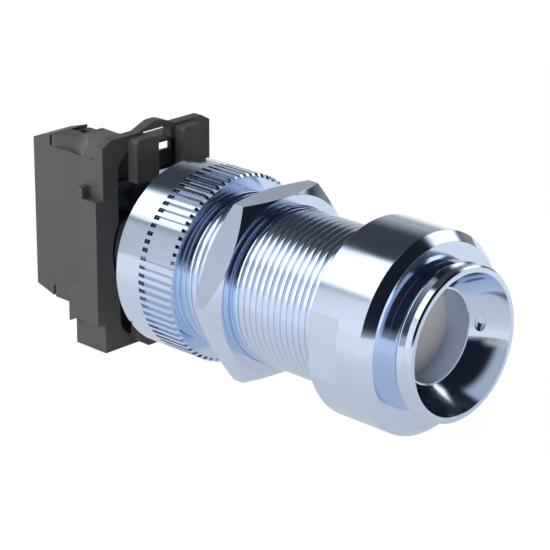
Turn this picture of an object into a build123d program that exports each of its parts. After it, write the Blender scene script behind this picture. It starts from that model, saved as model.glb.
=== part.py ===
import os
from build123d import *

os.makedirs("parts", exist_ok=True)

# Panel pilot light, in millimetres. The light axis is Y, the front looks along -Y,
# and the origin is on that axis in the rear shoulder of the head, where the panel rests.

# Barrel: head, wrench flats and threaded shank
head_radius = 18.75
head_length = 14.3
head_chamfer_length = 1.9
head_chamfer_depth = 1.6
head_rear_chamfer = 0.5
wrench_flats = 35.4
wrench_flat_length = 7.1
thread_core_radius = 14.1
barrel_end = 45.0
barrel_end_chamfer = 0.6
thread_clearance = 0.09

# Bezel: funnel, lip and neck
lip_radius = 14.27
lip_front = 20.2
lip_edge = 0.35
lip_ring_length = 1.6
lip_groove_length = 1.3
lip_groove_depth = 0.7
lip_groove_wall = 0.2
lip_land = 0.15
flare_length = 1.3
flare_sag = 0.15
neck_radius = 13.6
funnel_mouth_radius = 13.05
funnel_depth = 6.0
funnel_sag = 0.3
bore_land = 0.35
bezel_bore_radius = 8.6
bezel_shank_radius = 12.5
bezel_shank_clearance = 0.1
spanner_hole_width = 3.0
spanner_hole_height = 2.0
spanner_hole_depth = 1.8
spanner_hole_share = 0.25

# Lens, its gasket and the light guide
lens_front = 9.35
lens_radius = 10.35
lens_thickness = 3.0
lens_clearance = 0.15
lens_edge = 0.3
lens_seat_gap = 0.45
lens_gasket_thickness = 0.8
channel_radius = 8.4
guide_radius = 6.0
guide_clearance = 0.06
guide_gap = 0.4
bush_clearance = 0.08
bush_length = 4.0
bush_rear_inset = 3.0
bush_slot_depth = 1.2
bush_slot_width = 3.6

# Lock nut
nut_flats = 34.3
nut_thickness = 5.7
nut_front = 22.0
nut_chamfer_length = 1.7
nut_mouth_depth = 1.0

# Grip ring, tail sleeve and the gasket between sleeve and barrel
ring_length = 14.5
ring_cap = 1.54
ring_radius = 18.35
ring_front_chamfer = 0.5
ring_rear_chamfer = 0.3
slot_count = 72
slot_width = 0.85
slot_depth = 0.75
slot_length = 8.2
tail_gasket_thickness = 0.8
flange_radius = 13.8
flange_thickness = 1.4
flange_gap = 0.06
tail_radius = 11.6
tail_bore_radius = 9.6
tail_end = 61.0
tail_edge = 0.4

# Collar
collar_front = 56.5
plate_thickness = 2.1
collar_half_width = 14.1
collar_bottom = -19.5
plate_top = 22.9
plate_corner_width = 2.1
plate_corner_drop = 1.2
body_rear = 62.3
body_top = 20.2
foot_rear = 64.9
foot_top = -13.0
arch_left = -4.0
arch_right = 4.9
arch_height = 1.5
arch_slope = 0.35
arch_slot_width = 7.1
arch_slot_low = 20.5
arch_slot_high = 22.8
arch_slot_shift = 0.45
mouth_half_width = 10.2
mouth_top = 19.9
mouth_bottom = -17.4
mouth_corner = 4.0
mouth_clearance = 0.3
pocket_half_width = 12.9
pocket_rear = 61.2
window_left = 3.0
window_right = 8.2
window_low = 15.95
window_high = 17.75
tab_depth = 2.4
tab_corner = 0.9
left_tab_edge = -7.5
left_tab_width = 5.75
right_tab_edge = 4.8
right_tab_width = 5.35
tab_top = 22.3
tab_bottom = 13.9
low_tab_edge = -7.5
low_tab_width = 15.0
low_tab_top = -13.5
low_tab_bottom = -19.7
low_tab_corner_width = 2.4
low_tab_corner_height = 1.6
rail_proud = 1.9
rail_top = 11.5
rail_bottom = -13.4
rail_depth = 5.1
rail_horn_depth = 1.3
rail_horn_top = 13.7
rail_foot_top = -5.5
rail_foot_depth = 8.3
rail_foot_slope = 2.0
rail_toe_slope = 1.0
foot_gap = 0.4
ramp_shoulder = -8.0
ramp_knee = 61.9
ramp_knee_crest = -12.4
ramp_seat = 0.1
ramp_front_shares = (0.71, 1.0, 0.9, 0.21)
ramp_knee_shares = (0.5, 0.71, 0.58, 0.18)
tongue_left = -3.6
tongue_tip = 77.0
tongue_edge = 0.1
tongue_under = 0.6

# Clamp plate and its screws
plate_clearance = 0.1
clamp_plate_thickness = 1.0
clamp_plate_half_height = 12.6
clamp_screw_place = 9.9
clamp_screw_radius = 1.45
clamp_hole_radius = 1.6
clamp_head_radius = 2.6
clamp_head_height = 1.8
clamp_screw_end = 0.4
screw_slot_width = 0.8

# Lamp block
block_half_width = 5.0
block_half_height = 16.9
block_top_rise = 0.4
housing_front = 64.9
housing_rear = 81.4
block_wall = 1.2
seam_gap = 0.05
cover_end = 86.9
cover_taper = 1.6
cover_wall = 1.2
snap_slot_length = 2.4
snap_slot_width = 0.6
lead_in_width = 1.4
lead_in_front = 72.3
lead_in_drop = 2.1
top_recess_left = 0.2
top_recess_front = 77.6
top_recess_depth = 0.7
wire_way_left = 0.7
wire_way_right = 3.5
wire_way_front = 78.2
wire_way_rear = 81.0

# Lamp and board
led_radius = 2.5
led_rim_radius = 2.9
led_rim_length = 1.2
led_length = 6.4
led_front = 61.0
led_hole_clearance = 0.1
lead_size = 0.5
lead_pitch = 2.54
lead_length = 2.6
board_thickness = 1.0
board_left = 1.75
board_margin = 4.3
board_front = 68.6
board_length = 10.0
resistor_radius = 1.1
resistor_length = 6.0
resistor_drop = 7.6
resistor_back = 1.5
resistor_edge = 0.3
rectifier_width = 3.8
rectifier_height = 5.0
rectifier_thickness = 1.6
rectifier_back = 2.2
rectifier_low = 3.6
capacitor_radius = 2.2
capacitor_length = 7.5
capacitor_top = -3.0
capacitor_back = -0.5
capacitor_edge = 0.4

# Terminals
terminal_inset = 6.1
strip_front = 79.0
strip_thickness = 1.2
strip_half_width = 3.65
strip_half_height = 2.6
strip_leg_thickness = 0.9
strip_leg_half_height = 1.6
strip_leg_length = 4.5
clamp_thickness = 0.9
clamp_half_size = 2.6
clamp_corner = 0.5
clamp_gap = 0.3
screw_radius = 1.45
screw_fit = 0.06
screw_head_radius = 2.2
screw_head_height = 2.0
screw_tail = 3.0
screw_hole_radius = 2.5


def across(place):
    """Plane square to the light axis at one place along it, drawn as seen from the front."""
    return Plane.XZ.offset(-place)


# Threaded barrel with its head
lens_rear = -lens_front + lens_thickness
gasket_rear = lens_rear + lens_gasket_thickness
lens_seat_front = -lens_front + lens_seat_gap
with BuildPart() as barrel:
    with BuildSketch(Plane.YZ):
        Polygon(
            (-head_length, bezel_shank_radius + bezel_shank_clearance),
            (-head_length, head_radius - head_chamfer_depth),
            (-head_length + head_chamfer_length, head_radius),
            (-head_rear_chamfer, head_radius),
            (0, head_radius - head_rear_chamfer),
            (0, thread_core_radius),
            (barrel_end - barrel_end_chamfer, thread_core_radius),
            (barrel_end, thread_core_radius - barrel_end_chamfer),
            (barrel_end, channel_radius),
            (gasket_rear, channel_radius),
            (gasket_rear, lens_radius + lens_clearance),
            (lens_seat_front, lens_radius + lens_clearance),
            (lens_seat_front, bezel_shank_radius + bezel_shank_clearance),
            align=None,
        )
    revolve(axis=Axis.Y)
    flat_waste = head_radius - wrench_flats / 2
    with BuildSketch(across(0)):
        with Locations((-head_radius + flat_waste / 2, 0), (head_radius - flat_waste / 2, 0)):
            Rectangle(flat_waste, 2 * head_radius)
    extrude(amount=wrench_flat_length, mode=Mode.SUBTRACT)
barrel.part.label = "barrel"
export_step(barrel.part, "parts/barrel.step")

# Front bezel: grooved lip and funnel ahead of the head, shank screwed into it
funnel_bottom = -lip_front + funnel_depth
funnel_low_radius = bezel_bore_radius + bore_land
funnel_slope = (funnel_mouth_radius - funnel_low_radius) / funnel_depth
funnel_middle = (funnel_bottom - funnel_depth / 2, (funnel_mouth_radius + funnel_low_radius) / 2)
groove_front = -lip_front + lip_ring_length
groove_rear = groove_front + lip_groove_length
flare_front = groove_rear + lip_land
flare_rear = flare_front + flare_length
flare_middle = (flare_front + flare_rear) / 2
with BuildPart() as front_bezel:
    with BuildSketch(Plane.YZ):
        with BuildLine():
            funnel_bow = ThreePointArc(
                (-lip_front, funnel_mouth_radius),
                (funnel_middle[0] + funnel_sag * funnel_slope, funnel_middle[1] + funnel_sag),
                (funnel_bottom, funnel_low_radius),
            )
            Polyline(
                (flare_front, lip_radius),
                (groove_rear, lip_radius),
                (groove_front + lip_groove_wall, lip_radius - lip_groove_depth),
                (groove_front, lip_radius),
                (-lip_front + lip_edge, lip_radius),
                (-lip_front, lip_radius - lip_edge),
                (-lip_front, funnel_mouth_radius),
            )
            Polyline(
                (funnel_bottom, funnel_low_radius),
                (funnel_bottom, bezel_bore_radius),
                (-lens_front, bezel_bore_radius),
                (-lens_front, bezel_shank_radius),
                (-head_length, bezel_shank_radius),
                (-head_length, neck_radius),
                (flare_rear, neck_radius),
            )
            ThreePointArc(
                (flare_rear, neck_radius),
                (flare_middle, (neck_radius + lip_radius) / 2 - flare_sag),
                (flare_front, lip_radius),
            )
        make_face()
    revolve(axis=Axis.Y)
    hole_point = funnel_bow @ (1 - spanner_hole_share)
    for side in (-1, 1):
        wall = Plane(
            origin=(side * hole_point.Y, hole_point.X, 0),
            x_dir=(0, 0, 1),
            z_dir=(side, funnel_slope, 0),
        )
        with BuildSketch(wall):
            Ellipse(spanner_hole_width / 2, spanner_hole_height / 2)
        extrude(amount=spanner_hole_depth, mode=Mode.SUBTRACT)
        with BuildSketch(wall):
            Ellipse(spanner_hole_width / 2, spanner_hole_height / 2)
        extrude(amount=-spanner_hole_depth, mode=Mode.SUBTRACT)
front_bezel.part.label = "front_bezel"
export_step(front_bezel.part, "parts/front_bezel.step")

# Lens, a frosted disc pressed against the bezel's shank
with BuildPart() as lens:
    with BuildSketch(across(-lens_front)):
        Circle(lens_radius)
    extrude(amount=-lens_thickness)
    chamfer(lens.edges().filter_by(GeomType.CIRCLE), lens_edge)
lens.part.label = "lens"
export_step(lens.part, "parts/lens.step")

# Gasket behind the lens
with BuildPart() as lens_gasket:
    with BuildSketch(across(lens_rear)):
        Circle(lens_radius)
        Circle(channel_radius, mode=Mode.SUBTRACT)
    extrude(amount=-lens_gasket_thickness)
lens_gasket.part.label = "lens_gasket"
export_step(lens_gasket.part, "parts/lens_gasket.step")

# Light guide, a clear rod from just behind the lens to just ahead of the lamp
guide_front = lens_rear + guide_gap
guide_rear = led_front - guide_gap
with BuildPart() as light_guide:
    with BuildSketch(across(guide_front)):
        Circle(guide_radius)
    extrude(amount=guide_front - guide_rear)
    chamfer(light_guide.edges().filter_by(GeomType.CIRCLE), lens_edge)
light_guide.part.label = "light_guide"
export_step(light_guide.part, "parts/light_guide.step")

# Two bushes that centre the light guide in the barrel's bore
bush_places = {
    "front_guide_bush": gasket_rear + guide_gap,
    "rear_guide_bush": barrel_end - bush_rear_inset - bush_length,
}
for bush_name, bush_place in bush_places.items():
    with BuildPart() as guide_bush:
        with BuildSketch(across(bush_place)):
            Circle(channel_radius - bush_clearance)
            Circle(guide_radius + guide_clearance, mode=Mode.SUBTRACT)
        extrude(amount=-bush_length)
        with BuildSketch(across(bush_place)):
            with PolarLocations(channel_radius, 3):
                Rectangle(2 * bush_slot_depth, bush_slot_width)
        extrude(amount=-bush_length, mode=Mode.SUBTRACT)
    guide_bush.part.label = bush_name
    export_step(guide_bush.part, "parts/" + bush_name + ".step")

# Lock nut: a hexagon with both faces coned off at the corners
nut_corner_radius = nut_flats / 3 ** 0.5
nut_face_radius = nut_flats / 2
nut_bore_radius = thread_core_radius + thread_clearance
nut_rear = nut_front + nut_thickness
with BuildPart() as lock_nut:
    with BuildSketch(across(nut_front)):
        RegularPolygon(nut_corner_radius, 6)
    extrude(amount=-nut_thickness)
    with BuildSketch(Plane.YZ):
        Polygon(
            (nut_front + nut_mouth_depth, nut_bore_radius),
            (nut_front, nut_bore_radius + nut_mouth_depth),
            (nut_front, nut_face_radius),
            (nut_front + nut_chamfer_length, nut_corner_radius),
            (nut_rear - nut_chamfer_length, nut_corner_radius),
            (nut_rear, nut_face_radius),
            (nut_rear, nut_bore_radius + nut_mouth_depth),
            (nut_rear - nut_mouth_depth, nut_bore_radius),
            align=None,
        )
    revolve(axis=Axis.Y, mode=Mode.INTERSECT)
lock_nut.part.label = "lock_nut"
export_step(lock_nut.part, "parts/lock_nut.step")

# Grip ring: screwed on the barrel's end, slotted from its front edge, plain behind
flange_front = barrel_end + tail_gasket_thickness
flange_rear = flange_front + flange_thickness
ring_rear = flange_rear + flange_gap + ring_cap
ring_front = ring_rear - ring_length
with BuildPart() as grip_ring:
    with BuildSketch(Plane.YZ):
        Polygon(
            (ring_front, thread_core_radius + thread_clearance),
            (ring_front, ring_radius - ring_front_chamfer),
            (ring_front + ring_front_chamfer, ring_radius),
            (ring_rear - ring_rear_chamfer, ring_radius),
            (ring_rear, ring_radius - ring_rear_chamfer),
            (ring_rear, tail_radius + thread_clearance),
            (flange_rear + flange_gap, tail_radius + thread_clearance),
            (flange_rear + flange_gap, thread_core_radius + thread_clearance),
            align=None,
        )
    revolve(axis=Axis.Y)
    with BuildSketch(across(ring_front)):
        with PolarLocations(ring_radius, slot_count):
            Rectangle(2 * slot_depth, slot_width)
    extrude(amount=-slot_length, mode=Mode.SUBTRACT)
grip_ring.part.label = "grip_ring"
export_step(grip_ring.part, "parts/grip_ring.step")

# Tail sleeve with the flange that the ring holds against the barrel
with BuildPart() as tail_sleeve:
    with BuildSketch(Plane.YZ):
        Polygon(
            (flange_front, tail_bore_radius),
            (flange_front, flange_radius),
            (flange_rear, flange_radius),
            (flange_rear, tail_radius),
            (tail_end - tail_edge, tail_radius),
            (tail_end, tail_radius - tail_edge),
            (tail_end, tail_bore_radius),
            align=None,
        )
    revolve(axis=Axis.Y)
tail_sleeve.part.label = "tail_sleeve"
export_step(tail_sleeve.part, "parts/tail_sleeve.step")

# Gasket between barrel and tail flange
with BuildPart() as tail_gasket:
    with BuildSketch(across(barrel_end)):
        Circle(thread_core_radius - barrel_end_chamfer)
        Circle(tail_bore_radius, mode=Mode.SUBTRACT)
    extrude(amount=-tail_gasket_thickness)
tail_gasket.part.label = "tail_gasket"
export_step(tail_gasket.part, "parts/tail_gasket.step")

# Collar: front plate with arch and tabs, body round the tail, side rails, feet and top arm
plate_rear = collar_front + plate_thickness
block_top = block_half_height + block_top_rise
tongue_low = block_half_height + seam_gap
terminal_height = block_half_height - terminal_inset
arch_middle = (arch_left + arch_right) / 2
with BuildPart() as collar:
    with BuildSketch(across(collar_front)):
        with BuildLine():
            Polyline(
                (arch_right, plate_top),
                (collar_half_width - plate_corner_width, plate_top),
                (collar_half_width, plate_top - plate_corner_drop),
                (collar_half_width, collar_bottom),
                (-collar_half_width, collar_bottom),
                (-collar_half_width, plate_top - plate_corner_drop),
                (-collar_half_width + plate_corner_width, plate_top),
                (arch_left, plate_top),
            )
            Spline(
                (arch_left, plate_top),
                (arch_middle, plate_top + arch_height),
                (arch_right, plate_top),
                tangents=((1, arch_slope), (1, -arch_slope)),
            )
        make_face()
    extrude(amount=-plate_thickness)
    with BuildSketch(across(plate_rear)):
        with BuildLine():
            Polyline(
                (-collar_half_width, collar_bottom),
                (-collar_half_width, body_top - plate_corner_drop),
                (-collar_half_width + plate_corner_width, body_top),
                (collar_half_width - plate_corner_width, body_top),
                (collar_half_width, body_top - plate_corner_drop),
                (collar_half_width, collar_bottom),
                close=True,
            )
        make_face()
    extrude(amount=plate_rear - body_rear)
    # Feet run further back than the body
    with BuildSketch(across(body_rear)):
        foot_width = collar_half_width - block_half_width - foot_gap
        for side in (-1, 1):
            with Locations((side * (collar_half_width - foot_width / 2), (collar_bottom + foot_top) / 2)):
                Rectangle(foot_width, foot_top - collar_bottom)
    extrude(amount=body_rear - foot_rear)
    # Side rails stand proud of the body, deeper at their foot and with a horn behind a notch
    with BuildSketch(Plane.YZ.offset(-collar_half_width - rail_proud)):
        with BuildLine():
            Polyline(
                (collar_front, rail_bottom),
                (collar_front, rail_top),
                (collar_front + rail_depth - rail_horn_depth, rail_top),
                (collar_front + rail_depth - rail_horn_depth, rail_horn_top),
                (collar_front + rail_depth, rail_horn_top),
                (collar_front + rail_depth, rail_foot_top),
                (collar_front + rail_foot_depth, rail_foot_top - rail_foot_slope),
                (collar_front + rail_foot_depth, rail_bottom - rail_toe_slope),
                (collar_front + rail_foot_depth - rail_foot_slope, rail_bottom),
                close=True,
            )
        make_face()
    extrude(amount=rail_proud)
    mirror(about=Plane.YZ)
    # Ramp down from the plate's left corner, narrowing to a tongue over the lamp block
    ramp_rise = plate_top - tongue_low
    ramp_low = body_top - plate_corner_drop - ramp_seat
    ramp_sections = (
        (plate_rear, -collar_half_width + plate_corner_width, ramp_front_shares),
        (ramp_knee, ramp_knee_crest, ramp_knee_shares),
    )
    for ramp_place, ramp_crest, shares in ramp_sections:
        with BuildSketch(across(ramp_place)):
            Polygon(
                (-block_half_width, tongue_low),
                (-collar_half_width, ramp_low),
                (-collar_half_width, tongue_low + shares[0] * ramp_rise),
                (ramp_crest, tongue_low + shares[1] * ramp_rise),
                (ramp_shoulder, tongue_low + shares[2] * ramp_rise),
                (block_half_width, tongue_low + shares[3] * ramp_rise),
                (block_half_width, tongue_low),
                align=None,
            )
    with BuildSketch(across(tongue_tip)):
        Polygon(
            (tongue_left + tongue_under, tongue_low),
            (tongue_left, tongue_low + tongue_edge),
            (tongue_left, block_top - tongue_edge),
            (tongue_left + tongue_edge, block_top),
            (tongue_left + tongue_under, block_top),
            (block_half_width, block_top),
            (block_half_width, tongue_low),
            align=None,
        )
    loft(ruled=True)
    # Seat for the lamp block between the feet
    with BuildSketch(across(body_rear)):
        Rectangle(2 * block_half_width, 2 * block_half_height)
    extrude(amount=body_rear - housing_front)
    # Mouth round the tail, the wider pocket behind it and the hole for the tail
    with BuildSketch(across(collar_front)):
        mouth_height = mouth_top - mouth_bottom
        with Locations((0, (mouth_top + mouth_bottom) / 2)):
            RectangleRounded(2 * mouth_half_width, mouth_height, mouth_corner)
        Circle(tail_radius + mouth_clearance)
    extrude(amount=-plate_thickness, mode=Mode.SUBTRACT)
    with BuildSketch(across(plate_rear)):
        with Locations((0, (mouth_top + mouth_bottom) / 2)):
            RectangleRounded(2 * pocket_half_width, mouth_height, mouth_corner)
    extrude(amount=plate_rear - pocket_rear, mode=Mode.SUBTRACT)
    with BuildSketch(across(pocket_rear)):
        Circle(led_rim_radius + led_hole_clearance)
        with Locations(
            (clamp_screw_place, clamp_screw_place),
            (-clamp_screw_place, -clamp_screw_place),
        ):
            Circle(clamp_hole_radius)
        with Locations(((window_left + window_right) / 2, (window_low + window_high) / 2)):
            Rectangle(window_right - window_left, window_high - window_low)
    extrude(amount=pocket_rear - housing_front, mode=Mode.SUBTRACT)
    # Slot under the arch
    with BuildSketch(across(collar_front)):
        with Locations((arch_middle - arch_slot_shift, (arch_slot_low + arch_slot_high) / 2)):
            Rectangle(arch_slot_width, arch_slot_high - arch_slot_low)
    extrude(amount=-plate_thickness, mode=Mode.SUBTRACT)
    # Tabs on the front of the plate
    for tab_edge, tab_width in ((left_tab_edge, left_tab_width), (right_tab_edge, right_tab_width)):
        with BuildSketch(across(collar_front)) as tab:
            with Locations((tab_edge + tab_width / 2, (tab_top + tab_bottom) / 2)):
                Rectangle(tab_width, tab_top - tab_bottom)
            fillet(tab.vertices().group_by(Axis.Y)[-1], tab_corner)
        extrude(amount=tab_depth)
    with BuildSketch(across(collar_front)):
        with BuildLine():
            Polyline(
                (low_tab_edge, low_tab_top),
                (low_tab_edge, low_tab_bottom + low_tab_corner_height),
                (low_tab_edge + low_tab_corner_width, low_tab_bottom),
                (low_tab_edge + low_tab_width - low_tab_corner_width, low_tab_bottom),
                (low_tab_edge + low_tab_width, low_tab_bottom + low_tab_corner_height),
                (low_tab_edge + low_tab_width, low_tab_top),
                close=True,
            )
        make_face()
    extrude(amount=tab_depth)
collar.part.label = "collar"
export_step(collar.part, "parts/collar.step")

# Steel clamp plate in the collar's pocket, round the tail
with BuildPart() as clamp_plate:
    with BuildSketch(across(pocket_rear)):
        Rectangle(2 * (pocket_half_width - plate_clearance), 2 * clamp_plate_half_height)
        Circle(tail_radius + plate_clearance, mode=Mode.SUBTRACT)
        with Locations(
            (clamp_screw_place, clamp_screw_place),
            (-clamp_screw_place, -clamp_screw_place),
        ):
            Circle(clamp_screw_radius + screw_fit, mode=Mode.SUBTRACT)
    extrude(amount=clamp_plate_thickness)
clamp_plate.part.label = "clamp_plate"
export_step(clamp_plate.part, "parts/clamp_plate.step")

# Two screws that pull the clamp plate back against the collar
screw_point = pocket_rear - clamp_plate_thickness - clamp_screw_end
with BuildPart() as clamp_screws:
    for side in (-1, 1):
        with BuildSketch(across(body_rear)):
            with Locations((side * clamp_screw_place, side * clamp_screw_place)):
                Circle(clamp_head_radius)
        extrude(amount=-clamp_head_height)
        with BuildSketch(across(body_rear)):
            with Locations((side * clamp_screw_place, side * clamp_screw_place)):
                Circle(clamp_screw_radius)
        extrude(amount=body_rear - screw_point)
        with BuildSketch(across(body_rear + clamp_head_height)):
            with Locations((side * clamp_screw_place, side * clamp_screw_place)):
                Rectangle(2 * clamp_head_radius, screw_slot_width)
        extrude(amount=screw_slot_width, mode=Mode.SUBTRACT)
clamp_screws.part.label = "clamp_screws"
export_step(clamp_screws.part, "parts/clamp_screws.step")

# Lamp housing, open at the rear, lower at the front where the collar's tongue lies on it
inner_half_width = block_half_width - block_wall
inner_half_height = block_half_height - block_wall
lead_in_low = block_half_height - lead_in_drop
cavity_top = lead_in_low - block_wall
cavity_front = housing_front + block_wall
tongue_seat_rear = tongue_tip + seam_gap
with BuildPart() as lamp_housing:
    with BuildSketch(across(housing_front)):
        with Locations((0, block_top_rise / 2)):
            Rectangle(2 * block_half_width, 2 * block_half_height + block_top_rise)
    extrude(amount=housing_front - housing_rear)
    with BuildSketch(across(housing_front)):
        with Locations((0, (block_half_height + block_top) / 2)):
            Rectangle(2 * block_half_width, block_top_rise)
    extrude(amount=housing_front - tongue_seat_rear, mode=Mode.SUBTRACT)
    # Lead-in cut into the top of the left side, deepest at the tongue's tip
    with BuildSketch(Plane.XY.offset(lead_in_low)):
        Polygon(
            (-block_half_width, lead_in_front),
            (-block_half_width + lead_in_width, tongue_seat_rear),
            (-block_half_width, housing_rear),
            align=None,
        )
    extrude(amount=block_top - lead_in_low, mode=Mode.SUBTRACT)
    # Cavity for board and terminals, its roof below the lead-in
    with BuildSketch(across(cavity_front)):
        with Locations((0, (cavity_top - inner_half_height) / 2)):
            Rectangle(2 * inner_half_width, cavity_top + inner_half_height)
    extrude(amount=cavity_front - housing_rear, mode=Mode.SUBTRACT)
    # Shallow recess in the top and the wire ways through top and bottom
    recess_middle = (top_recess_left + block_half_width) / 2
    with BuildSketch(Plane.XY.offset(block_top - top_recess_depth)):
        with Locations((recess_middle, (top_recess_front + housing_rear) / 2)):
            Rectangle(block_half_width - top_recess_left, housing_rear - top_recess_front)
    extrude(amount=top_recess_depth, mode=Mode.SUBTRACT)
    wire_way_middle = ((wire_way_left + wire_way_right) / 2, (wire_way_front + wire_way_rear) / 2)
    with BuildSketch(Plane.XY.offset(-block_half_height)):
        with Locations(wire_way_middle):
            Rectangle(wire_way_right - wire_way_left, wire_way_rear - wire_way_front)
    extrude(amount=block_half_height + block_top, mode=Mode.SUBTRACT)
    with BuildSketch(across(housing_front)):
        Circle(led_radius + led_hole_clearance)
    extrude(amount=-block_wall, mode=Mode.SUBTRACT)
lamp_housing.part.label = "lamp_housing"
export_step(lamp_housing.part, "parts/lamp_housing.step")

# Rear cover, tapered shell with screw access holes and snap slots
with BuildPart() as rear_cover:
    with BuildSketch(Plane.YZ.offset(-block_half_width)):
        Polygon(
            (housing_rear, -block_half_height),
            (housing_rear, block_top),
            (cover_end, block_top - cover_taper),
            (cover_end, -block_half_height + cover_taper),
            align=None,
        )
    extrude(amount=2 * block_half_width)
    with BuildSketch(Plane.YZ.offset(-inner_half_width)):
        Polygon(
            (housing_rear, -inner_half_height),
            (housing_rear, inner_half_height),
            (cover_end - cover_wall, inner_half_height - cover_taper),
            (cover_end - cover_wall, -inner_half_height + cover_taper),
            align=None,
        )
    extrude(amount=2 * inner_half_width, mode=Mode.SUBTRACT)
    with BuildSketch(across(cover_end)):
        with Locations((0, terminal_height), (0, -terminal_height)):
            Circle(screw_hole_radius)
    extrude(amount=cover_wall, mode=Mode.SUBTRACT)
    with BuildSketch(across(housing_rear)):
        with Locations(
            (0, block_top - snap_slot_length / 2),
            (0, -block_half_height + snap_slot_length / 2),
        ):
            Rectangle(2 * block_half_width, snap_slot_length)
    extrude(amount=-snap_slot_width, mode=Mode.SUBTRACT)
rear_cover.part.label = "rear_cover"
export_step(rear_cover.part, "parts/rear_cover.step")

# Lamp with domed nose, rim and two bent leads to the board
led_rear = led_front + led_length
with BuildPart() as led:
    with BuildSketch(Plane.YZ):
        with BuildLine():
            Line((led_rear, 0), (led_front, 0))
            RadiusArc((led_front, 0), (led_front + led_radius, led_radius), led_radius)
            Polyline(
                (led_front + led_radius, led_radius),
                (led_rear - led_rim_length, led_radius),
                (led_rear - led_rim_length, led_rim_radius),
                (led_rear, led_rim_radius),
                (led_rear, 0),
            )
        make_face()
    revolve(axis=Axis.Y)
    with BuildSketch(across(led_rear)):
        with Locations((0, lead_pitch / 2), (0, -lead_pitch / 2)):
            Rectangle(lead_size, lead_size)
    extrude(amount=-lead_length)
    with BuildSketch(Plane.YZ):
        with Locations(
            (led_rear + lead_length - lead_size / 2, lead_pitch / 2),
            (led_rear + lead_length - lead_size / 2, -lead_pitch / 2),
        ):
            Rectangle(lead_size, lead_size)
    extrude(amount=board_left)
led.part.label = "led"
export_step(led.part, "parts/led.step")

# Circuit board along the block's right side
board_middle = board_front + board_length / 2
board_right = board_left + board_thickness
board_half_height = block_half_height - board_margin
resistor_low = terminal_height - resistor_drop
with BuildPart() as circuit_board:
    with BuildSketch(Plane.YZ.offset(board_left)):
        with Locations((board_middle, 0)):
            Rectangle(board_length, 2 * board_half_height)
    extrude(amount=board_thickness)
circuit_board.part.label = "circuit_board"
export_step(circuit_board.part, "parts/circuit_board.step")

# Resistor lying on the board
with BuildPart() as resistor:
    with BuildSketch(Plane.XY.offset(resistor_low)):
        with Locations((board_left - resistor_radius, board_middle + resistor_back)):
            Circle(resistor_radius)
    extrude(amount=resistor_length)
    chamfer(resistor.edges().filter_by(GeomType.CIRCLE), resistor_edge)
resistor.part.label = "resistor"
export_step(resistor.part, "parts/resistor.step")

# Rectifier block on the board, over the capacitor
with BuildPart() as rectifier:
    with BuildSketch(Plane.YZ.offset(board_left - rectifier_thickness)):
        with Locations((board_front + rectifier_back, rectifier_low + rectifier_height / 2)):
            Rectangle(rectifier_width, rectifier_height)
    extrude(amount=rectifier_thickness)
rectifier.part.label = "rectifier"
export_step(rectifier.part, "parts/rectifier.step")

# Capacitor can lying on the board
with BuildPart() as capacitor:
    with BuildSketch(Plane.XY.offset(capacitor_top)):
        with Locations((board_left - capacitor_radius, board_middle + capacitor_back)):
            Circle(capacitor_radius)
    extrude(amount=-capacitor_length)
    chamfer(capacitor.edges().filter_by(GeomType.CIRCLE), capacitor_edge)
capacitor.part.label = "capacitor"
export_step(capacitor.part, "parts/capacitor.step")

# Terminals: a brass strip on the board, a clamp washer and its screw, upper and lower
strip_rear = strip_front + strip_thickness
clamp_front = strip_rear + clamp_gap
clamp_rear = clamp_front + clamp_thickness
terminals = {"upper": terminal_height, "lower": -terminal_height}
for end_name, height in terminals.items():
    with BuildPart() as terminal_strip:
        with BuildSketch(across(strip_front)):
            with Locations((0, height)):
                Rectangle(2 * strip_half_width, 2 * strip_half_height)
                Circle(screw_radius + screw_fit, mode=Mode.SUBTRACT)
        extrude(amount=-strip_thickness)
        with BuildSketch(across(strip_front)):
            with Locations((board_right + strip_leg_thickness / 2, height)):
                Rectangle(strip_leg_thickness, 2 * strip_leg_half_height)
        extrude(amount=strip_leg_length)
    terminal_strip.part.label = end_name + "_terminal"
    export_step(terminal_strip.part, "parts/" + end_name + "_terminal.step")

    with BuildPart() as terminal_clamp:
        with BuildSketch(across(clamp_front)):
            with Locations((0, height)):
                RectangleRounded(2 * clamp_half_size, 2 * clamp_half_size, clamp_corner)
                Circle(screw_radius + screw_fit, mode=Mode.SUBTRACT)
        extrude(amount=-clamp_thickness)
    terminal_clamp.part.label = end_name + "_clamp"
    export_step(terminal_clamp.part, "parts/" + end_name + "_clamp.step")

    with BuildPart() as terminal_screw:
        with BuildSketch(across(clamp_rear)):
            with Locations((0, height)):
                Circle(screw_head_radius)
        extrude(amount=-screw_head_height)
        with BuildSketch(across(clamp_rear)):
            with Locations((0, height)):
                Circle(screw_radius)
        extrude(amount=clamp_rear - strip_front + screw_tail)
        with BuildSketch(across(clamp_rear + screw_head_height)):
            with Locations((0, height)):
                Rectangle(2 * screw_head_radius, screw_slot_width)
        extrude(amount=screw_slot_width, mode=Mode.SUBTRACT)
    terminal_screw.part.label = end_name + "_screw"
    export_step(terminal_screw.part, "parts/" + end_name + "_screw.step")
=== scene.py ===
from math import cos, radians, sin, tau
import bpy
from mathutils import Matrix, Vector


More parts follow.
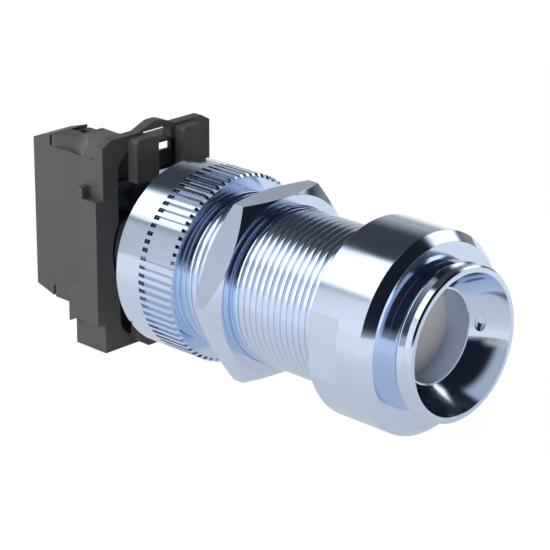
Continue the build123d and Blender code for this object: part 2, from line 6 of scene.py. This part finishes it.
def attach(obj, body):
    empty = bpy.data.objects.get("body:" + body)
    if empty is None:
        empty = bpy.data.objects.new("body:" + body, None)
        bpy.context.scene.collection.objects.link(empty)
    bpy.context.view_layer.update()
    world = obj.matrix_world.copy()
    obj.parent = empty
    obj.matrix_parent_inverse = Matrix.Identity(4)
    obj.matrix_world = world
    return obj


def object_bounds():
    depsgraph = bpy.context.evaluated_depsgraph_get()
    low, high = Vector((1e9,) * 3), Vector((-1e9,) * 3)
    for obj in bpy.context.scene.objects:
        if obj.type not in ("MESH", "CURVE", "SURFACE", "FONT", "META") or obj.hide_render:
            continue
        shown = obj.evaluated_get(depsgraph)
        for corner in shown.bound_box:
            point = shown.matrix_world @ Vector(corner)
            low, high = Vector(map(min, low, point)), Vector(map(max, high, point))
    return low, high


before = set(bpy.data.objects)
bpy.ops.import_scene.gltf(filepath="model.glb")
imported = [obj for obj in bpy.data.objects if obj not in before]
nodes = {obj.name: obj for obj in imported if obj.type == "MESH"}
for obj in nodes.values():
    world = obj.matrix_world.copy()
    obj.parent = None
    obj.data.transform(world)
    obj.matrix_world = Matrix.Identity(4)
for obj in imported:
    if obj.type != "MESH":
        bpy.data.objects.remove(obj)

mm = 0.001
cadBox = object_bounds()
print("frame loaded:", len(nodes), "nodes")


# The photograph's camera, aimed at a point on the light axis
cameraPlan = {
    "azimuth": -46.323,
    "elevation": 20.424,
    "roll": 0.372,
    "focalLength": 155.3,
    "sensorWidth": 36.0,
    "distance": 439.9 * mm,
    "nearClip": 10.0 * mm,
    "target": (0.0, 25.076 * mm, 1.154 * mm),
}


def placeCamera(plan):
    azimuth, elevation = radians(plan["azimuth"]), radians(plan["elevation"])
    back = Vector((sin(azimuth) * cos(elevation), -cos(azimuth) * cos(elevation), sin(elevation)))
    right = Vector((cos(azimuth), sin(azimuth), 0.0))
    up = back.cross(right)
    roll = radians(plan["roll"])
    rolledRight = right * cos(roll) + up * sin(roll)
    rolledUp = up * cos(roll) - right * sin(roll)
    turn = Matrix((rolledRight, rolledUp, back)).transposed().to_4x4()
    lens = bpy.data.cameras.new("photoCamera")
    lens.lens = plan["focalLength"]
    lens.sensor_width = plan["sensorWidth"]
    lens.clip_start = plan["nearClip"]
    camera = bpy.data.objects.new("photoCamera", lens)
    camera.matrix_world = Matrix.Translation(Vector(plan["target"]) + back * plan["distance"]) @ turn
    bpy.context.scene.collection.objects.link(camera)
    bpy.context.scene.camera = camera


placeCamera(cameraPlan)
print("camera placed")


# Helpers that keep the node code short
white = (1.0, 1.0, 1.0, 1.0)


def newMaterial(name):
    material = bpy.data.materials.new(name)
    material.use_nodes = True
    tree = material.node_tree
    return material, tree, tree.nodes["Principled BSDF"]


# A setting that the node itself lacks goes to its input of that name
def addNode(tree, kind, **settings):
    node = tree.nodes.new(kind)
    for key, value in settings.items():
        if hasattr(node, key):
            setattr(node, key, value)
        else:
            node.inputs[key.replace("_", " ")].default_value = value
    return node


def feed(tree, value, socket):
    if isinstance(value, bpy.types.NodeSocket):
        tree.links.new(value, socket)
    else:
        socket.default_value = value


def calc(tree, operation, first, second=None, clamp=False):
    node = addNode(tree, "ShaderNodeMath", operation=operation, use_clamp=clamp)
    feed(tree, first, node.inputs[0])
    if second is not None:
        feed(tree, second, node.inputs[1])
    return node.outputs[0]


def mixColours(tree, share, first, second):
    mix = addNode(tree, "ShaderNodeMix", data_type="RGBA")
    for value, socket in ((share, 0), (first, 6), (second, 7)):
        feed(tree, value, mix.inputs[socket])
    return mix.outputs[2]


def mixShaders(tree, share, first, second):
    mix = addNode(tree, "ShaderNodeMixShader")
    for value, socket in zip((share, first, second), mix.inputs):
        feed(tree, value, socket)
    return mix.outputs[0]


def objectPoint(tree, stretch=(1.0, 1.0, 1.0)):
    place = addNode(tree, "ShaderNodeTexCoord")
    mapping = addNode(tree, "ShaderNodeMapping", vector_type="POINT")
    mapping.inputs["Scale"].default_value = stretch
    feed(tree, place.outputs["Object"], mapping.inputs["Vector"])
    return mapping.outputs["Vector"]


def noise(tree, point, scale, detail=2.0):
    texture = addNode(tree, "ShaderNodeTexNoise", Scale=scale, Detail=detail)
    feed(tree, point, texture.inputs["Vector"])
    return texture.outputs["Fac"]


# Noise stays mostly between 0.35 and 0.65, so these are the limits unless others are given
def rangeOf(tree, source, low, high, fromLow=0.35, fromHigh=0.65):
    remap = addNode(tree, "ShaderNodeMapRange")
    remap.inputs["From Min"].default_value = fromLow
    remap.inputs["From Max"].default_value = fromHigh
    remap.inputs["To Min"].default_value = low
    remap.inputs["To Max"].default_value = high
    feed(tree, source, remap.inputs["Value"])
    return remap.outputs["Result"]


def softEdge(tree, plan):
    edge = addNode(tree, "ShaderNodeBevel", samples=plan["edgeSamples"], Radius=plan["edgeRadius"])
    return edge.outputs["Normal"]


def giveBump(tree, shader, height, strength, depth, under=None):
    bump = addNode(tree, "ShaderNodeBump", Strength=strength, Distance=depth)
    feed(tree, height, bump.inputs["Height"])
    if under is not None:
        feed(tree, under, bump.inputs["Normal"])
    feed(tree, bump.outputs["Normal"], shader.inputs["Normal"])


# Bright plated metal with a cool tint and faint lathe lines round the light axis
platePlan = {
    "tint": (0.675, 0.785, 0.965, 1.0),
    "roughnessLow": 0.09,
    "roughnessHigh": 0.15,
    "smudgeScale": 90.0,
    "smudgeDetail": 4.0,
    "latheLinesPerMetre": 2600.0,
    "latheStrength": 0.35,
    "latheStrengthOnNut": 0.105,
    "latheDepth": 0.0008 * mm,
    "edgeRadius": 0.1 * mm,
    "edgeSamples": 8,
}


def brightPlate(name, plan, latheStrength):
    material, tree, shader = newMaterial(name)
    shader.inputs["Metallic"].default_value = 1.0
    shader.inputs["Base Color"].default_value = plan["tint"]
    smudge = noise(tree, objectPoint(tree), plan["smudgeScale"], plan["smudgeDetail"])
    roughness = rangeOf(tree, smudge, plan["roughnessLow"], plan["roughnessHigh"])
    feed(tree, roughness, shader.inputs["Roughness"])
    lines = noise(tree, objectPoint(tree, stretch=(0.0, 1.0, 0.0)), plan["latheLinesPerMetre"])
    giveBump(tree, shader, lines, latheStrength, plan["latheDepth"], softEdge(tree, plan))
    return material


# Black moulded plastic with a fine spark-eroded grain
plasticPlan = {
    "colour": (0.062, 0.062, 0.060, 1.0),
    "paleColour": (0.075, 0.075, 0.072, 1.0),
    "cloudScale": 60.0,
    "cloudDetail": 3.0,
    "roughnessLow": 0.48,
    "roughnessHigh": 0.62,
    "grainScale": 4200.0,
    "grainStrength": 0.5,
    "grainDepth": 0.01 * mm,
    "edgeRadius": 0.15 * mm,
    "edgeSamples": 4,
}


def mouldedPlastic(name, plan):
    material, tree, shader = newMaterial(name)
    point = objectPoint(tree)
    cloud = noise(tree, point, plan["cloudScale"], plan["cloudDetail"])
    tone = mixColours(tree, cloud, plan["colour"], plan["paleColour"])
    feed(tree, tone, shader.inputs["Base Color"])
    grain = noise(tree, point, plan["grainScale"])
    feed(tree, rangeOf(tree, grain, plan["roughnessLow"], plan["roughnessHigh"]), shader.inputs["Roughness"])
    giveBump(tree, shader, grain, plan["grainStrength"], plan["grainDepth"], softEdge(tree, plan))
    return material


# Frosted lens disc: light scatters in it, and its face has a fine pearl grain
lensPlan = {
    "colour": (0.92, 0.89, 0.90, 1.0),
    "roughness": 0.38,
    "scatterWeight": 0.35,
    "scatterDepth": 1.5 * mm,
    "grainScale": 2500.0,
    "grainStrength": 0.4,
    "grainDepth": 0.01 * mm,
}


def frostedLens(name, plan):
    material, tree, shader = newMaterial(name)
    shader.inputs["Base Color"].default_value = plan["colour"]
    shader.inputs["Roughness"].default_value = plan["roughness"]
    shader.inputs["Subsurface Weight"].default_value = plan["scatterWeight"]
    shader.inputs["Subsurface Scale"].default_value = plan["scatterDepth"]
    grain = addNode(tree, "ShaderNodeTexVoronoi", Scale=plan["grainScale"])
    feed(tree, objectPoint(tree), grain.inputs["Vector"])
    giveBump(tree, shader, grain.outputs["Distance"], plan["grainStrength"], plan["grainDepth"])
    return material


# Plainer finishes for what sits inside or shows only at a gap, each with a slight mottle
mottlePlan = {
    "scale": 350.0,
    "detail": 4.0,
    "darkShare": 0.9,
    "roughnessLow": 0.85,
    "roughnessHigh": 1.15,
    "strength": 0.25,
    "depth": 0.01 * mm,
}
innerFinishes = {
    "gasketRubber": {"colour": (0.03, 0.03, 0.03), "roughness": 0.75, "metal": 0.0},
    "bushNylon": {"colour": (0.74, 0.73, 0.68), "roughness": 0.5, "metal": 0.0},
    "zincSteel": {"colour": (0.62, 0.63, 0.66), "roughness": 0.28, "metal": 1.0},
    "terminalBrass": {"colour": (0.80, 0.62, 0.30), "roughness": 0.3, "metal": 1.0},
    "boardGreen": {"colour": (0.04, 0.16, 0.08), "roughness": 0.4, "metal": 0.0},
    "componentBlack": {"colour": (0.04, 0.04, 0.045), "roughness": 0.45, "metal": 0.0},
    "lampWhite": {"colour": (0.80, 0.80, 0.78), "roughness": 0.25, "metal": 0.0},
}


def innerFinish(name, plan, mottle):
    material, tree, shader = newMaterial(name)
    shader.inputs["Metallic"].default_value = plan["metal"]
    clouds = noise(tree, objectPoint(tree), mottle["scale"], mottle["detail"])
    dark = tuple(mottle["darkShare"] * part for part in plan["colour"])
    tone = mixColours(tree, clouds, dark + (1.0,), plan["colour"] + (1.0,))
    feed(tree, tone, shader.inputs["Base Color"])
    low, high = (plan["roughness"] * mottle[end] for end in ("roughnessLow", "roughnessHigh"))
    feed(tree, rangeOf(tree, clouds, low, high), shader.inputs["Roughness"])
    giveBump(tree, shader, clouds, mottle["strength"], mottle["depth"])
    return material


# Clear acrylic for the light guide
guidePlan = {
    "colour": (0.95, 0.98, 0.99, 1.0),
    "refraction": 1.49,
    "hazeScale": 120.0,
    "roughnessLow": 0.02,
    "roughnessHigh": 0.08,
}


def clearGuide(name, plan):
    material, tree, shader = newMaterial(name)
    shader.inputs["Base Color"].default_value = plan["colour"]
    shader.inputs["Transmission Weight"].default_value = 1.0
    shader.inputs["IOR"].default_value = plan["refraction"]
    haze = noise(tree, objectPoint(tree), plan["hazeScale"])
    feed(tree, rangeOf(tree, haze, plan["roughnessLow"], plan["roughnessHigh"]), shader.inputs["Roughness"])
    return material


turnedPlate = brightPlate("turnedPlate", platePlan, platePlan["latheStrength"])
nutPlate = brightPlate("nutPlate", platePlan, platePlan["latheStrengthOnNut"])
blackMoulding = mouldedPlastic("blackMoulding", plasticPlan)
lensFrost = frostedLens("lensFrost", lensPlan)
guideClear = clearGuide("guideClear", guidePlan)
inner = {name: innerFinish(name, plan, mottlePlan) for name, plan in innerFinishes.items()}

finishOfNode = {
    "barrel": turnedPlate,
    "front_bezel": turnedPlate,
    "grip_ring": turnedPlate,
    "tail_sleeve": turnedPlate,
    "lock_nut": nutPlate,
    "collar": blackMoulding,
    "lamp_housing": blackMoulding,
    "rear_cover": blackMoulding,
    "lens": lensFrost,
    "light_guide": guideClear,
    "lens_gasket": inner["gasketRubber"],
    "tail_gasket": inner["gasketRubber"],
    "front_guide_bush": inner["bushNylon"],
    "rear_guide_bush": inner["bushNylon"],
    "clamp_plate": inner["zincSteel"],
    "clamp_screws": inner["zincSteel"],
    "upper_screw": inner["zincSteel"],
    "lower_screw": inner["zincSteel"],
    "upper_clamp": inner["zincSteel"],
    "lower_clamp": inner["zincSteel"],
    "upper_terminal": inner["terminalBrass"],
    "lower_terminal": inner["terminalBrass"],
    "circuit_board": inner["boardGreen"],
    "resistor": inner["componentBlack"],
    "rectifier": inner["componentBlack"],
    "capacitor": inner["componentBlack"],
    "led": inner["lampWhite"],
}
for nodeName, finish in finishOfNode.items():
    for slotHere in nodes[nodeName].material_slots:
        slotHere.material = finish
print("finishes given to", len(finishOfNode), "nodes")


# Thread on the barrel, M30 x 1.5: a ridge that runs in and out of the core at its ends.
# A row of its section is an offset along the axis, in pitches, and a share of the height.
# The rows run round the section from the front, and the last one closes it.
threadPlan = {
    "coreRadius": 14.1 * mm,
    "crestRadius": 15.0 * mm,
    "rootSink": 0.06 * mm,
    "pitch": 1.5 * mm,
    "start": 1.75 * mm,
    "end": 44.3 * mm,
    "runOutTurns": 0.35,
    "segmentsPerTurn": 90,
    "weldDistance": 0.002 * mm,
    "section": [
        (-0.498, 0.0), (-0.498, 0.54), (-0.455, 0.56), (-0.42, 0.72), (-0.4, 0.866), (-0.375, 0.905),
        (-0.34, 0.92), (-0.2, 0.951), (0.0, 0.984), (0.18, 1.0), (0.25, 0.993), (0.31, 0.977),
        (0.36, 0.953), (0.39, 0.915), (0.415, 0.8), (0.455, 0.56), (0.498, 0.54), (0.498, 0.0),
        (-0.498, 0.0),
    ],
}


def threadTree(plan):
    tree = bpy.data.node_groups.new("threadRidge", "GeometryNodeTree")
    sizes = {
        "Core Radius": plan["coreRadius"],
        "Crest Radius": plan["crestRadius"],
        "Root Sink": plan["rootSink"],
        "Pitch": plan["pitch"],
        "Start": plan["start"],
        "End": plan["end"],
        "Run Out Turns": plan["runOutTurns"],
        "Segments Per Turn": plan["segmentsPerTurn"],
        "Weld Distance": plan["weldDistance"],
    }
    for label, value in sizes.items():
        socket = tree.interface.new_socket(label, in_out="INPUT", socket_type="NodeSocketFloat")
        socket.default_value = value
    tree.interface.new_socket("Finish", in_out="INPUT", socket_type="NodeSocketMaterial")
    tree.interface.new_socket("Geometry", in_out="OUTPUT", socket_type="NodeSocketGeometry")
    given = addNode(tree, "NodeGroupInput").outputs
    result = addNode(tree, "NodeGroupOutput").inputs["Geometry"]

    # The section's rows become evenly spaced curve points, one to each row of the grid
    def sectionCurve(source, column):
        node = addNode(tree, "ShaderNodeFloatCurve")
        line = node.mapping.curves[0]
        last = len(plan["section"]) - 1
        places = [(index / last, row[column]) for index, row in enumerate(plan["section"])]
        node.mapping.clip_min_y = -1.0
        node.mapping.use_clip = False
        while len(line.points) < len(places):
            line.points.new(0.5, 0.5)
        for point, place in zip(line.points, places):
            point.location = place
            point.handle_type = "VECTOR"
        node.mapping.update()
        feed(tree, source, node.inputs["Value"])
        return node.outputs[0]

    # A flat grid of one unit by one, whose X runs along the ridge and Y round its section
    turns = calc(tree, "DIVIDE", calc(tree, "SUBTRACT", given["End"], given["Start"]), given["Pitch"])
    segments = calc(tree, "CEIL", calc(tree, "MULTIPLY", turns, given["Segments Per Turn"]))
    grid = addNode(tree, "GeometryNodeMeshGrid", Size_X=1.0, Size_Y=1.0, Vertices_Y=len(plan["section"]))
    feed(tree, segments, grid.inputs["Vertices X"])
    place = addNode(tree, "ShaderNodeSeparateXYZ")
    feed(tree, addNode(tree, "GeometryNodeInputPosition").outputs[0], place.inputs[0])
    along = calc(tree, "ADD", place.outputs["X"], 0.5)
    across = calc(tree, "ADD", place.outputs["Y"], 0.5)

    # The ridge grows from nothing over its first part of a turn and sinks again at its end
    turned = calc(tree, "MULTIPLY", along, turns)
    nearEnd = calc(tree, "MINIMUM", turned, calc(tree, "SUBTRACT", turns, turned))
    share = calc(tree, "MINIMUM", calc(tree, "DIVIDE", nearEnd, given["Run Out Turns"]), 1.0)
    share = calc(tree, "MAXIMUM", share, 0.0)
    angle = calc(tree, "MULTIPLY", turned, tau)
    height = calc(tree, "MULTIPLY", sectionCurve(across, 1), share)
    depth = calc(tree, "SUBTRACT", given["Crest Radius"], given["Core Radius"])
    depth = calc(tree, "ADD", depth, given["Root Sink"])
    base = calc(tree, "SUBTRACT", given["Core Radius"], given["Root Sink"])
    radius = calc(tree, "ADD", base, calc(tree, "MULTIPLY", height, depth))
    offset = calc(tree, "MULTIPLY", sectionCurve(across, 0), share)
    offset = calc(tree, "MULTIPLY", offset, given["Pitch"])
    run = calc(tree, "ADD", calc(tree, "MULTIPLY", turned, given["Pitch"]), given["Start"])
    point = addNode(tree, "ShaderNodeCombineXYZ")
    feed(tree, calc(tree, "MULTIPLY", radius, calc(tree, "SINE", angle)), point.inputs["X"])
    feed(tree, calc(tree, "ADD", run, offset), point.inputs["Y"])
    feed(tree, calc(tree, "MULTIPLY", radius, calc(tree, "COSINE", angle)), point.inputs["Z"])

    move = addNode(tree, "GeometryNodeSetPosition")
    feed(tree, point.outputs[0], move.inputs["Position"])
    weld = addNode(tree, "GeometryNodeMergeByDistance")
    feed(tree, given["Weld Distance"], weld.inputs["Distance"])
    smooth = addNode(tree, "GeometryNodeSetShadeSmooth")
    realize = addNode(tree, "GeometryNodeRealizeInstances")
    paint = addNode(tree, "GeometryNodeSetMaterial")
    feed(tree, given["Finish"], paint.inputs["Material"])
    shape = grid.outputs["Mesh"]
    for node in (move, weld, smooth, realize, paint):
        feed(tree, shape, node.inputs["Geometry"])
        shape = node.outputs[0]
    feed(tree, shape, result)
    return tree


def plainMeshFrom(tree, name, inputs):
    holder = bpy.data.objects.new(name + "Nodes", bpy.data.meshes.new(name + "Nodes"))
    bpy.context.scene.collection.objects.link(holder)
    modifier = holder.modifiers.new("nodes", "NODES")
    modifier.node_group = tree
    for item in tree.interface.items_tree:
        if item.item_type == "SOCKET" and item.in_out == "INPUT" and item.name in inputs:
            modifier[item.identifier] = inputs[item.name]
    evaluated = holder.evaluated_get(bpy.context.evaluated_depsgraph_get())
    mesh = bpy.data.meshes.new_from_object(evaluated)
    bpy.data.objects.remove(holder)
    mesh.name = name
    piece = bpy.data.objects.new(name, mesh)
    bpy.context.scene.collection.objects.link(piece)
    return piece


barrelThread = plainMeshFrom(threadTree(threadPlan), "barrelThread", {"Finish": turnedPlate})
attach(barrelThread, "body")
print("thread cut:", len(barrelThread.data.polygons), "faces")


# White studio: pale floor, soft lamps for the plastics, and a world whose
# large soft panels and dark gaps are what the bright plate reflects
studioPlan = {
    "floorSize": 6.0,
    "floorColour": (0.85, 0.85, 0.85, 1.0),
    "floorRoughness": 0.9,
    "floorGlow": 0.95,
    "floorWhite": 1.03,
    # In reflections the floor carries a painted shadow: its level runs from the near value by the object to
    # the far value beyond the reach
    "floorPaintedShadowInMetal": 0.6,
    "floorFarInMetal": 0.9,
    "floorPaintedShadowReach": 0.09,
    "floorPaintedShadowStretch": (1.0, 0.5, 0.0),
    "worldForDiffuse": 0.2,
    "gapColour": (0.010, 0.013, 0.021),
    "plainTone": (1.0, 1.0, 1.0),
}
# Panels stand at a compass angle (from +X towards +Y) and a height, both in degrees, with
# half spans across and upward, half the width of their soft edge and a brightness. Some also
# have a lean about their own middle or a colour tone. A later panel covers an earlier one.
panels = {
    "topRear": {"compass": 70.0, "height": 52.0, "across": 50.0, "upward": 28.0, "edge": 12.0,
                "level": 0.06, "tone": (0.85, 0.95, 1.1)},
    "midRearLeft": {"compass": 125.0, "height": 9.0, "across": 40.0, "upward": 20.0, "edge": 4.0,
                    "level": 0.58},
    "lowLeft": {"compass": 166.0, "height": 9.0, "across": 27.0, "upward": 23.0, "edge": 3.0,
                "level": 1.0},
    "midLeft": {"compass": 161.0, "height": 20.0, "across": 12.5, "upward": 11.0, "edge": 4.0,
                "level": 1.6},
    "highRearLeft": {"compass": 133.0, "height": 46.0, "across": 24.5, "upward": 14.0, "edge": 3.0,
                     "level": 1.6},
    "leftBand": {"compass": -167.0, "height": 52.0, "lean": -9.0, "across": 16.0, "upward": 46.0,
                 "edge": 5.0, "level": 0.5, "tone": (0.93, 1.0, 1.1)},
    "lowFrontLeft": {"compass": -156.0, "height": 1.0, "across": 12.0, "upward": 9.0, "edge": 6.0,
                     "level": 0.6},
    "frontHorizon": {"compass": -105.0, "height": 0.0, "across": 55.0, "upward": 4.0, "edge": 4.0,
                     "level": 0.3},
    "rearRight": {"compass": 48.0, "height": 8.0, "across": 30.0, "upward": 18.0, "edge": 10.0,
                  "level": 0.45},
    "rightHorizon": {"compass": 30.0, "height": -4.0, "across": 45.0, "upward": 8.0, "edge": 5.0,
                     "level": 0.75},
    "rightLow": {"compass": 4.0, "height": 6.0, "across": 18.0, "upward": 9.0, "edge": 6.0,
                 "level": 0.27},
    "frontRight": {"compass": -12.0, "height": 33.0, "across": 14.0, "upward": 13.5, "edge": 4.0,
                   "level": 1.6},
}


def emission(tree, strength):
    glow = addNode(tree, "ShaderNodeEmission", Color=white)
    feed(tree, strength, glow.inputs["Strength"])
    return glow.outputs[0]


def background(tree, colour, strength):
    glow = addNode(tree, "ShaderNodeBackground", Strength=strength)
    feed(tree, colour, glow.inputs["Color"])
    return glow.outputs[0]


# One where the camera looks straight or through clear material, and one in a reflection
def directAndGlossy(tree):
    path = addNode(tree, "ShaderNodeLightPath").outputs
    direct = calc(tree, "ADD", path["Is Camera Ray"], path["Is Transmission Ray"], clamp=True)
    return direct, path["Is Glossy Ray"]


# One inside the panel, fading to zero over its soft edge
def panelShare(tree, direction, panel):
    compass, height = radians(panel["compass"]), radians(panel["height"])
    ahead = Vector((cos(compass) * cos(height), sin(compass) * cos(height), sin(height)))
    lean = Matrix.Rotation(radians(panel.get("lean", 0.0)), 3, ahead)
    sideways = lean @ Vector((-sin(compass), cos(compass), 0.0))
    upward = ahead.cross(sideways)

    def reachAlong(axis):
        reach = addNode(tree, "ShaderNodeVectorMath", operation="DOT_PRODUCT")
        reach.inputs[1].default_value = axis
        feed(tree, direction, reach.inputs[0])
        return reach.outputs["Value"]

    def insideSpan(axis, span):
        fade = addNode(tree, "ShaderNodeMapRange", interpolation_type="SMOOTHSTEP")
        fade.inputs["From Min"].default_value = sin(radians(span - panel["edge"]))
        fade.inputs["From Max"].default_value = sin(radians(span + panel["edge"]))
        fade.inputs["To Min"].default_value = 1.0
        fade.inputs["To Max"].default_value = 0.0
        feed(tree, calc(tree, "ABSOLUTE", reachAlong(axis)), fade.inputs["Value"])
        return fade.outputs["Result"]

    inWidth = insideSpan(sideways, panel["across"])
    inside = calc(tree, "MULTIPLY", inWidth, insideSpan(upward, panel["upward"]))
    return calc(tree, "MULTIPLY", inside, calc(tree, "GREATER_THAN", reachAlong(ahead), 0.0))


def panelWorld(plan, panels):
    world = bpy.data.worlds.new("panelStudio")
    world.use_nodes = True
    tree = world.node_tree
    tree.nodes.clear()
    output = addNode(tree, "ShaderNodeOutputWorld")
    direction = addNode(tree, "ShaderNodeTexCoord").outputs["Generated"]
    seen = plan["gapColour"] + (1.0,)
    for panel in panels.values():
        tone = panel.get("tone", plan["plainTone"])
        colour = tuple(panel["level"] * part for part in tone) + (1.0,)
        seen = mixColours(tree, panelShare(tree, direction, panel), seen, colour)
    direct, glossy = directAndGlossy(tree)
    diffuseLight = background(tree, white, plan["worldForDiffuse"])
    reflected = mixShaders(tree, glossy, diffuseLight, background(tree, seen, 1.0))
    feed(tree, mixShaders(tree, direct, reflected, background(tree, white, 1.0)), output.inputs["Surface"])
    bpy.context.scene.world = world


# The floor glows white to the camera and keeps a shadow there; in reflections it has a level of its own with
# a painted shadow, darker near the object
def whiteFloor(plan):
    half = plan["floorSize"] / 2
    low = cadBox[0][2]
    mesh = bpy.data.meshes.new("studioFloor")
    corners = [(-half, -half, low), (half, -half, low), (half, half, low), (-half, half, low)]
    mesh.from_pydata(corners, [], [(0, 1, 2, 3)])
    floor = bpy.data.objects.new("studioFloor", mesh)
    bpy.context.scene.collection.objects.link(floor)
    material, tree, shader = newMaterial("floorWhite")
    shader.inputs["Base Color"].default_value = plan["floorColour"]
    shader.inputs["Roughness"].default_value = plan["floorRoughness"]
    # Painted shadow: the floor's level in reflections darkens towards the object
    reach = addNode(tree, "ShaderNodeVectorMath", operation="LENGTH")
    feed(tree, objectPoint(tree, stretch=plan["floorPaintedShadowStretch"]), reach.inputs[0])
    near, far = plan["floorPaintedShadowInMetal"], plan["floorFarInMetal"]
    metalLevelWithPaintedShadow = rangeOf(tree, reach.outputs["Value"], near, far, 0.0, plan["floorPaintedShadowReach"])
    direct, glossy = directAndGlossy(tree)
    layers = shader.outputs[0]
    toCamera = calc(tree, "MULTIPLY", direct, plan["floorGlow"])
    layers = mixShaders(tree, toCamera, layers, emission(tree, plan["floorWhite"]))
    layers = mixShaders(tree, glossy, layers, emission(tree, metalLevelWithPaintedShadow))
    feed(tree, layers, tree.nodes["Material Output"].inputs["Surface"])
    mesh.materials.append(material)


# Soft lamps: place from the camera's target and size in metres, power in watts
lamps = {
    "keySoftbox": {"place": (-0.75, 0.45, 0.42), "size": (0.55, 0.55), "power": 4.7},
    "sideSoftbox": {"place": (-0.85, -0.15, 0.35), "size": (0.4, 0.5), "power": 4.0},
    "topSoftbox": {"place": (0.1, 0.1, 0.9), "size": (0.35, 0.35), "power": 3.6},
}


def softLamp(name, lamp):
    light = bpy.data.lights.new(name, "AREA")
    light.shape = "RECTANGLE"
    light.size, light.size_y = lamp["size"]
    light.energy = lamp["power"]
    item = bpy.data.objects.new(name, light)
    aim = Vector(cameraPlan["target"])
    place = aim + Vector(lamp["place"])
    turn = (place - aim).to_track_quat("Z", "Y").to_matrix().to_4x4()
    item.matrix_world = Matrix.Translation(place) @ turn
    item.visible_glossy = False
    bpy.context.scene.collection.objects.link(item)


panelWorld(studioPlan, panels)
whiteFloor(studioPlan)
for lampName, lamp in lamps.items():
    softLamp(lampName, lamp)
bpy.context.scene.view_settings.view_transform = "Standard"
print("studio lit")
